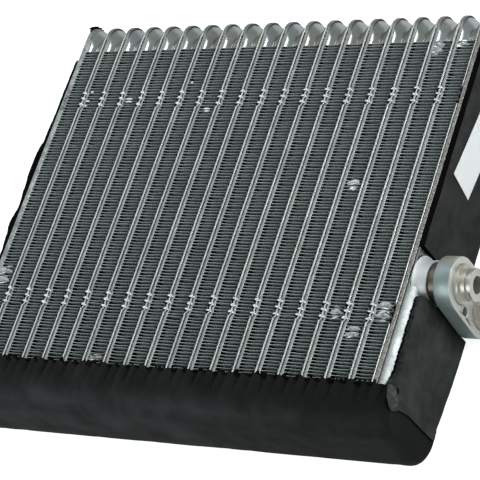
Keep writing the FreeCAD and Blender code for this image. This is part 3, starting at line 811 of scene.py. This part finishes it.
def build_fins():
    for bay in range(1, TUBE_COUNT + 1):
        chance = random.Random(500 + bay)
        x0 = PITCH * (bay - 0.5)
        shell = Shell()
        add_fin_sheet(shell, x0, chance)
        for x, y, length, bow in BENT_WALLS:
            if abs(x - x0) < FIN_REACH:
                add_flap(shell, x, y, length, height=0.8, arch=bow, lean=0.12, paint=TORN_FIN)
        add_crumples(shell, x0, chance)
        piece = shell.make("fin_skin_%02d" % bay, FIN_METALS, 60)
        place(piece, "fin_aluminium", "fin_%02d" % bay)


build_tubes()
build_left_end_plate()
build_fins()


# Foam: sheets and the boot, 3 mm thick
FOAM_THICK = 3.0
SHEET_REAR = -45.2
UPPER_X = 232.75
UPPER_LOW, UPPER_HIGH = -107.8, -0.6
LOWER_X = 239.15
LEFT_X = -4.45
BOOT_LEFT, BOOT_RIGHT = LEFT_X, LOWER_X
BOOT_FLOOR = -197.8
BOOT_FRONT, BOOT_REAR = 3.3, REST_Z
BOOT_EDGE = -176.3
BOOT_SIDE_EDGE = -181.2
BOOT_FRONT_CORNER, BOOT_REAR_CORNER = 13.0, 16.0
BOOT_END_ROUND = 4.0
FACE, EDGE = range(2)


def cloud_noise(x, y, z, scale):
    """Smooth noise from -1 to 1 with lumps of about the given size."""
    return fractal(Vector((x / scale, y / scale, z / scale)), 0.6, 2.0, 3)


def between(table, at):
    """Value at a place, eased between the rows of a short table."""
    for (a, va), (b, vb) in zip(table, table[1:]):
        if at <= b:
            return va + (vb - va) * smooth_step(a, b, at)
    return table[-1][1]


def spread(low, high, step):
    count = max(1, round((high - low) / step))
    return [low + (high - low) * i / count for i in range(count + 1)]


# Bulge of a torn edge over the front corner of the boot: where it begins and ends, and its size
WRAP_TOP = (-168.0, -172.5)
WRAP_LOW = (-186.5, -184.0)
WRAP_FORWARD = 2.9
WRAP_RIGHT = 2.2


def torn_points(shell, outer, inner, tear):
    """Points across a torn edge, from the outer to the inner face."""
    points = []
    for share in (0.25, 0.5, 0.75):
        spot = Vector(outer).lerp(Vector(inner), share)
        spot += Vector([random.uniform(-tear, tear) for _ in range(3)])
        over_corner = smooth_step(*WRAP_TOP, spot.y) * smooth_step(*WRAP_LOW, spot.y)
        spot.z += WRAP_FORWARD * over_corner * sin(pi * share) ** 0.7
        spot.x += WRAP_RIGHT * over_corner * (1 - share)
        points.append(shell.add(*spot))
    return points


def add_slab(shell, rows, front_paint=None, edge_paint=EDGE, tear=0.0):
    """A sheet from rows of outer and inner points, each row from the front edge on. Where that
    edge is torn, front_paint(y) gives its material numbers."""
    top, back = [[[shell.add(*pair[side]) for pair in row] for row in rows] for side in (0, 1)]
    shell.grid(top, paint=FACE)
    shell.grid([row[::-1] for row in back], paint=FACE)
    front = []
    for i, row in enumerate(rows):
        middle = torn_points(shell, *row[0], tear) if tear else []
        front.append([top[i][0]] + middle + [back[i][0]])
    for i in range(len(rows) - 1):
        outer_point = rows[i][0][0]
        paints = front_paint(outer_point[1]) if front_paint else [edge_paint]
        shell.grid([front[i], front[i + 1]], paints=paints)
    shell.grid([[under[-1], over[-1]] for under, over in zip(back, top)], paint=edge_paint)
    shell.grid([back[0], top[0]], paint=edge_paint)
    shell.grid([top[-1], back[-1]], paint=edge_paint)


def foam_piece(shell, name, materials, node, smooth_angle=40):
    piece = shell.make(name, materials, smooth_angle)
    place(piece, "foam", node)


def build_upper_right_foam():
    shell = Shell()
    rows = []
    for y in spread(UPPER_LOW, UPPER_HIGH, 2.0):
        row = []
        for z in spread(SHEET_REAR, 0.0, 2.2)[::-1]:
            lump = 0.16 * cloud_noise(3.0, y, z, 18.0)
            row.append(((UPPER_X + lump - 0.2, y, z), (UPPER_X - FOAM_THICK, y, z)))
        rows.append(row)
    add_slab(shell, rows)
    foam_piece(shell, "upper_right_sheet", [FOAM, CUT_AND_SHADE_FOAM], "upper_right_foam")


# The lower right sheet bends over the round channel: axis of the bend and its two radii
BEND_X, BEND_Z = 223.52, -10.9
BEND_OUTER, BEND_INNER = 15.63, 12.63
# Its outline, which runs down over the end of the boot
LOWER_TOP = -131.0
LOWER_FRONT = [(-187.2, -1.2), (-183.0, -3.4), (-179.0, -3.6), (-173.0, -4.0), (-162.0, -3.3),
               (LOWER_TOP, -2.4)]
LOWER_RIM = [(-45.3, -182.0), (-14.3, -182.3), (-9.8, -183.1), (-5.3, -183.9), (-1.2, -186.9)]
# It lies flat on the boot below the second of these heights
OVER_BOOT = (-175.0, -181.0)
# Its torn inner edge round the corner of the boot: place X and depth, by height
TEAR_X = [(-187.2, 240.0), (-185.9, 239.6), (-182.2, 238.4), (-176.7, 237.0), (-169.0, 233.6),
          (LOWER_TOP, 233.4)]
TEAR_DEPTH = [(-187.2, -0.6), (-185.9, 2.2), (-182.2, 3.9), (-176.7, 3.9), (-169.0, -2.9),
              (LOWER_TOP, -3.2)]
TORN_BELOW = -177.0
LOWER_ROWS, LOWER_COLUMNS = 60, 26
SHEET, TORN_EDGE, CUT_AND_SHADED_EDGE, WORN_EDGE = range(4)
LOWER_FOAMS = [LOWER_FOAM, TORN_FOAM, CUT_AND_SHADE_FOAM, WORN_FOAM]


def bend(radius, z):
    """Place X of a skin of the lower right sheet at a depth."""
    return BEND_X + sqrt(radius ** 2 - max(z - BEND_Z, 0.0) ** 2)


def torn_or_worn(y):
    """Material numbers across the front edge: torn below, worn above with a near-black strip of painted shade
    at its inner face.
    """
    if y < TORN_BELOW:
        return [TORN_EDGE] * 4
    return [SHEET, WORN_EDGE, WORN_EDGE, CUT_AND_SHADED_EDGE]


def lower_sheet_pair(t, s, fray):
    """Outer and inner point of the sheet at a share of its height and one of its depth."""
    low = between(LOWER_RIM, -43.0 * s - 1.4)
    y = low + (LOWER_TOP - low) * t
    front = between(LOWER_FRONT, y) + fray * (1 - s)
    z = front + (SHEET_REAR + 4.4 * (1 - t) ** 2 - front) * s
    over = smooth_step(*OVER_BOOT, y)
    lump = 0.22 * cloud_noise(3.0, y, z, 14.0)
    skin = bend(BEND_OUTER, z) * (1 - over) + (LOWER_X + 0.9) * over
    back = bend(BEND_INNER, z) * (1 - over) + (LOWER_X + 0.3) * over
    return (skin + lump - 0.1, y, z), (back, y, z)


def build_lower_right_foam():
    shell = Shell()
    chance = random.Random(21)
    rows = []
    frays = [chance.uniform(-0.35, 0.35) for _ in range(LOWER_ROWS + 1)]
    for i, fray in enumerate(frays):
        row = [lower_sheet_pair(i / LOWER_ROWS, j / LOWER_COLUMNS, fray) for j in range(LOWER_COLUMNS + 1)]
        outer = row[0][0]
        y = outer[1]
        row[0] = (outer, (between(TEAR_X, y), y, between(TEAR_DEPTH, y) + fray))
        rows.append(row)
    add_slab(shell, rows, torn_or_worn, CUT_AND_SHADED_EDGE, tear=0.3)
    foam_piece(shell, "lower_right_sheet", LOWER_FOAMS, "lower_right_foam")


# How far the left sheet stands off the end plate, by height
LEFT_BULGE = [(-180.0, 0.0), (-118.0, 0.0), (-108.0, 0.9), (-101.0, 1.9), (-90.0, 0.2), (-80.0, 1.2),
              (-72.0, 2.1), (-60.0, 2.1), (-50.0, 0.4), (-38.0, 0.0), (20.0, 0.0)]
# Depth of its front edge, by height: hidden behind the plate beside the header
LEFT_FRONT = [(-180.0, -2.0), (-4.0, -2.0), (-0.5, -7.0), (8.0, -9.0)]
LEFT_LOW = -180.9
LEFT_REAR = -44.6
# The sheet's head stands this far past the plate's head
HEAD_EXTRA = 0.9
LEFT_COLUMNS = 14


def left_sheet_edges(y, chance):
    """Depth of the left sheet's front and rear edge at a height, round at its head."""
    if y <= HEAD_Y:
        return between(LEFT_FRONT, y), LEFT_REAR
    arc = sqrt(max((HEADER_CORNER + HEAD_EXTRA) ** 2 - (y - HEAD_Y) ** 2, 0.0))
    ragged = chance.uniform(-0.4, 0.3)
    shown = smooth_step(12.5, 16.5, y)
    front = (-HEADER_CORNER + arc + ragged - 1.8) * shown - 9.0 * (1 - shown)
    return front, -DEPTH + HEADER_CORNER - arc


def build_left_foam():
    shell = Shell()
    chance = random.Random(33)
    rows = []
    heights = spread(LEFT_LOW, HEAD_Y, 1.6) + spread(HEAD_Y, HEADER_RISE + HEAD_EXTRA, 0.7)[1:]
    for y in heights:
        front, rear = left_sheet_edges(y, chance)
        front += 0.2 * cloud_noise(0.0, y, 0.0, 3.0)
        row = []
        for j in range(LEFT_COLUMNS + 1):
            s = j / LEFT_COLUMNS
            z = front + (rear - front) * s
            away = between(LEFT_BULGE, y) * (1 - smooth_step(0.0, 0.5, s))
            lump = 0.2 * cloud_noise(5.0, y, z, 12.0)
            row.append(((LEFT_X - away + lump + 0.1, y, z), (LEFT_X + FOAM_THICK - away * 0.8, y, z)))
        rows.append(row)
    add_slab(shell, rows)
    add_head_tatters(shell, chance)
    foam_piece(shell, "left_sheet", [FOAM, CUT_AND_SHADE_FOAM], "left_foam")


def add_head_tatters(shell, chance):
    """Torn foam left round the head of the left end plate."""
    foot = HEADER_CORNER + 0.1
    rows = []
    for step in range(18):
        angle = radians(52 - step * 3.1)
        torn = chance.uniform(0.1, 1.3) * (0.2 if step in (0, 6, 7) else 1.0)
        reach = HEADER_CORNER + 0.25 + torn
        y = HEAD_Y + reach * cos(angle)
        z = -HEADER_CORNER + reach * sin(angle)
        low_y = HEAD_Y + foot * cos(angle)
        low_z = -HEADER_CORNER + foot * sin(angle)
        rows.append([(-4.2, low_y, low_z), (-3.6, y, z), (-1.2 + torn * 0.4, y, z), (-0.6, low_y, low_z)])
    shell.sheet(rows, paint=EDGE)


# Boot round the lower header, with slanted folds under its front edge
FOLD_SPACING = HALF_PITCH
BOOT_END_STEPS = [0.0, 0.25, 0.7, 1.4, 2.4, 4.0]


def boot_section():
    """Outer section of the boot from its front to its rear edge: place and normal."""
    low_front = BOOT_FLOOR + BOOT_FRONT_CORNER
    low_rear = BOOT_FLOOR + BOOT_REAR_CORNER
    centre_front = BOOT_FRONT - BOOT_FRONT_CORNER
    centre_rear = BOOT_REAR + BOOT_REAR_CORNER
    run = [(y, BOOT_FRONT, 0.0, 1.0) for y in spread(low_front, BOOT_EDGE, 0.7)[::-1]]
    run += corner(low_front, centre_front, 90, 180, 14, BOOT_FRONT_CORNER)[1:]
    run += [(BOOT_FLOOR, z, -1.0, 0.0) for z in spread(centre_rear, centre_front, 2.0)[-2::-1]]
    run += corner(low_rear, centre_rear, 180, 270, 12, BOOT_REAR_CORNER)[1:]
    return run + [(y, BOOT_REAR, 0.0, -1.0) for y in spread(low_rear, BOOT_EDGE, 2.0)[1:]]


def boot_relief(x, y, z, nz):
    """How far the skin of the boot stands out, folded by the tubes under its front edge."""
    relief = 0.30 * cloud_noise(x, y, z, 22.0)
    if nz < -0.3:
        relief = min(relief, 0.0)
    if nz > 0.9:
        fade = 1 - smooth_step(BOOT_EDGE - 3.0, BOOT_EDGE - 12.5, y)
        slant = x - 0.12 * (y - BOOT_EDGE) + 1.1 * sin(x * 0.131)
        share = (slant / FOLD_SPACING) % 1.0
        fold = smooth_step(0.0, 0.28, share) * (1 - smooth_step(0.28, 1.0, share))
        relief += fade * (2.3 * fold + 0.5 * sin(2 * pi * slant / PITCH + 1.0) - 1.7)
    return relief


def build_boot():
    shell = Shell()
    section = boot_section()
    places = [BOOT_LEFT + t for t in BOOT_END_STEPS] + spread(BOOT_LEFT + 5.0, BOOT_RIGHT - 5.0, 0.6)
    places += [BOOT_RIGHT - t for t in BOOT_END_STEPS[::-1]]
    rows = []
    for x in places:
        near = min(x - BOOT_LEFT, BOOT_RIGHT - x, BOOT_END_ROUND)
        round_in = BOOT_END_ROUND - sqrt(BOOT_END_ROUND ** 2 - (BOOT_END_ROUND - near) ** 2)
        row = []
        for y, z, ny, nz in section:
            edge = smooth_step(BOOT_EDGE - 3.0, BOOT_EDGE, y) if nz > 0.9 else 0.0
            rise = edge * (0.9 * cloud_noise(x, 0.0, 0.0, 9.0) + 0.7 * cloud_noise(x, 5.0, 0.0, 2.2))
            out = boot_relief(x, y, z, nz) * min(near, 2.0) / 2.0 - round_in
            row.append((x, y + rise + out * ny, z + out * nz))
        rows.append(row)
    shell.sheet(rows)
    add_boot_edges(shell, rows)
    add_boot_ends(shell, rows)
    foam_piece(shell, "boot_skin", [BOOT_FOAM, CUT_AND_SHADE_FOAM], "bottom_foam")


def add_boot_edges(shell, rows):
    """The cut upper edges of the front and rear walls, and the skin behind them."""
    for end, sign in ((0, -1), (-1, 1)):
        strip = []
        for row in rows:
            x, y, z = row[end]
            inside = z + sign * (FOAM_THICK - 0.1)
            line = [(x, y, z), (x, y + 0.25, z + sign * 0.6), (x, y + 0.1, z + sign * 1.8)]
            line += [(x, y - 0.1, inside), (x, y - 6.0, inside)]
            strip.append(line)
        shell.sheet(strip, paint=EDGE)


def add_boot_ends(shell, rows):
    """Both end walls, open above their own edge, with the skin inside them."""
    for row, sign in ((rows[0], 1), (rows[-1], -1)):
        rim = [p for p in row if p[1] <= BOOT_SIDE_EDGE + 0.1]
        front = (rim[0][0], BOOT_SIDE_EDGE, rim[0][2])
        rear = (rim[-1][0], BOOT_SIDE_EDGE, rim[-1][2])
        outline = [front] + rim + [rear]
        shell.face([shell.add(*p) for p in outline])
        top = []
        for x, y, z in (front, rear):
            inside = x + sign * FOAM_THICK
            top.append([(x, y, z), (inside, y, z), (inside, y - 6.0, z)])
        shell.sheet(top, paint=EDGE)


def build_edge_tatters():
    """Torn bits of foam along the front edge of the boot."""
    chance = random.Random(77)
    shell = Shell()
    steps = 5
    x = -3.0
    while x < 229.0:
        length = chance.uniform(1.2, 5.0)
        height = chance.uniform(0.8, 3.0) * (1.0 if chance.random() < 0.55 else 0.4)
        rows = []
        for step in range(steps + 1):
            t = step / steps
            top = height * sin(pi * t) * chance.uniform(0.6, 1.1)
            px = x + length * t
            tip = (px + 0.2, BOOT_EDGE + 0.35 + top, 1.6)
            rows.append([(px, BOOT_EDGE - 0.6, 3.1), tip, (px, BOOT_EDGE - 0.4, 0.4)])
        shell.sheet(rows)
        x += length * chance.uniform(0.5, 1.0)
    foam_piece(shell, "edge_tatters", [CUT_AND_SHADE_FOAM], "bottom_foam", 60)


build_upper_right_foam()
build_lower_right_foam()
build_left_foam()
build_boot()
build_edge_tatters()


# Passage plate, ports, flange and label keep their CAD shapes
def paint_node(node, material):
    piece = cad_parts[node]
    piece.data.materials.clear()
    piece.data.materials.append(material)
    return piece


def soften_edges(piece, width):
    weld = piece.modifiers.new("joined", "WELD")
    weld.merge_threshold = 0.005 * MM
    bevel = piece.modifiers.new("edge_break", "BEVEL")
    bevel.width = width * MM
    bevel.segments = 2
    bevel.limit_method = "ANGLE"
    bevel.angle_limit = radians(40)


# Stretch of X over which the painted shade on the ports changes
PORT_START = 225.0
PORT_STRETCH = 40.0


def painted_port_shade(tree):
    """Painted shade along the ports, dull and brown near the channels."""
    dull = (0.30, 0.285, 0.255)
    tones = [(236.6, 0.8), (237.2, dull), (241.4, dull), (242.0, 1.0), (257.0, 1.0)]
    share = scaled(tree, core_x(tree), 1 / (PORT_STRETCH * MM), -PORT_START / PORT_STRETCH)
    return ramp(tree, share, [((x - PORT_START) / PORT_STRETCH, colour) for x, colour in tones])


def painted_flange_light(tree):
    """Painted shade and reflection by the way each face turns: the flange's sides are duller than its face,
    warm above, blue in front, dark below.
    """
    turn = facing(tree)
    rise = scaled(tree, turn["Y"], 0.5, 0.5)
    stops = [(0.0, (0.60, 0.72, 0.72)), (0.45, (0.50, 0.60, 0.63)), (0.60, (0.56, 0.64, 0.70))]
    sides = ramp(tree, rise, stops + [(0.78, (0.90, 0.84, 0.76)), (1.0, (0.86, 0.82, 0.76))])
    face = ramp(tree, turn["X"], [(0.2, 0.0), (0.35, 1.0)])
    return blend(tree, face, sides, (1.0, 1.0, 0.97))


# Drawn collar of the front channel: place X and radius, from its foot to its rim
COLLAR = [(231.2, 12.0), (231.8, 11.1), (232.8, 10.45), (234.2, 10.1), (235.6, 9.95), (236.6, 9.98),
          (237.1, 10.12), (237.2, 10.0), (237.15, 9.4)]
COLLAR_STEPS = 64
PORT_Y, PORT_Z = -120.4, -10.9


def build_collar():
    shell = Shell()
    rows = []
    for step in range(COLLAR_STEPS + 1):
        angle = 2 * pi * step / COLLAR_STEPS
        ny, nz = cos(angle), sin(angle)
        rows.append([(x, PORT_Y + radius * ny, PORT_Z + radius * nz) for x, radius in COLLAR])
    shell.sheet(rows)
    place(shell.make("collar_skin", [COLLAR_METAL], 60), "plate_aluminium")


# The ports and the flange take painted shade and reflection from their tones
PORT_METAL = metal("port_metal", (0.62, 0.60, 0.54), (0.74, 0.73, 0.68), (0.33, 0.40), 60.0,
                   relief=0.0, metallic=0.85, tone=painted_port_shade)
FLANGE_METAL = metal("flange_metal", (0.66, 0.68, 0.65), (0.77, 0.78, 0.75), (0.38, 0.46), 60.0,
                     relief=0.0, metallic=0.65, tone=painted_flange_light)
build_collar()
paint_node("passage_plate", PLATE_METAL)
for name in ("liquid_port_tube", "suction_port_tube"):
    paint_node(name, PORT_METAL)
soften_edges(paint_node("fitting_flange", FLANGE_METAL), 0.6)
paint_node("side_label", label_material())


# Floor, light and camera. Places and sizes here are in metres, but for the camera's place
FLOOR_HALF = 6.0
FLOOR_GLOW = 0.85
SURROUNDINGS = (0.28, 0.30, 0.31)
CAMERA_LENS = 164.73
CAMERA_RANGE = (0.05, 30.0)
CAMERA_PLACE = (698.8, -514.6, 731.6)
CAMERA_RIGHT = Vector((0.8295, 0.2964, -0.4736))
CAMERA_UP = Vector((-0.0239, 0.8658, 0.5000))
CORE_MIDDLE = (0, 0, 0.02)


def camera_ray(tree):
    return new_node(tree, "LightPath").outputs["Is Camera Ray"]


def build_floor():
    """A white floor, which glows for the camera alone."""
    material, tree, shader = new_material("studio_white")
    set_inputs(shader, Base_Color=opaque(0.9), Roughness=0.9)
    glow = new_node(tree, "Emission")
    set_inputs(glow, Color=opaque(1), Strength=FLOOR_GLOW)
    both = new_node(tree, "AddShader")
    mix = new_node(tree, "MixShader")
    out = tree.nodes["Material Output"]
    tree.links.new(shader.outputs[0], both.inputs[0])
    tree.links.new(glow.outputs[0], both.inputs[1])
    tree.links.new(camera_ray(tree), mix.inputs[0])
    tree.links.new(shader.outputs[0], mix.inputs[1])
    tree.links.new(both.outputs[0], mix.inputs[2])
    tree.links.new(mix.outputs[0], out.inputs["Surface"])
    mesh = bpy.data.meshes.new("floor")
    half = FLOOR_HALF
    corners = [(-half, -half, 0), (half, -half, 0), (half, half, 0), (-half, half, 0)]
    mesh.from_pydata(corners, [], [(0, 1, 2, 3)])
    mesh.materials.append(material)
    floor = add_object("floor", mesh)


def build_world():
    """Dim grey surroundings, which the camera sees as white."""
    world = bpy.data.worlds.new("studio")
    bpy.context.scene.world = world
    world.use_nodes = True
    tree = world.node_tree
    back = tree.nodes["Background"]
    colour = blend(tree, camera_ray(tree), SURROUNDINGS, (1, 1, 1))
    tree.links.new(colour, back.inputs["Color"])


def add_lamp(name, place_at, aim, size, power):
    data = bpy.data.lights.new(name, "AREA")
    data.shape = "RECTANGLE"
    data.size, data.size_y = size
    data.energy = power
    lamp = add_object(name, data)
    lamp.location = place_at
    lamp.rotation_euler = (Vector(aim) - Vector(place_at)).to_track_quat("-Z", "Y").to_euler()


def build_camera():
    data = bpy.data.cameras.new("camera")
    data.lens = CAMERA_LENS
    data.sensor_width = 36.0
    data.clip_start, data.clip_end = CAMERA_RANGE
    camera = add_object("camera", data)
    back = CAMERA_RIGHT.cross(CAMERA_UP).normalized()
    up = back.cross(CAMERA_RIGHT).normalized()
    turn = Matrix((CAMERA_RIGHT.normalized(), up, back)).transposed()
    camera.matrix_world = Matrix.Translation(to_row(*CAMERA_PLACE)) @ turn.to_4x4()
    bpy.context.scene.camera = camera


build_floor()
build_world()
add_lamp("key", (0.26, 0.68, 1.42), CORE_MIDDLE, (0.24, 0.44), 2.4)
add_lamp("left", (-1.0, 0.68, 1.2), CORE_MIDDLE, (1.2, 1.2), 3.6)
add_lamp("right", (0.426, 0.099, 0.216), (0.11, -0.05, 0.03), (0.20, 0.20), 0.62)
add_lamp("low", (-0.5, -1.35, 1.0), CORE_MIDDLE, (1.0, 1.0), 6.5)
build_camera()
bpy.context.scene.view_settings.view_transform = "Standard"
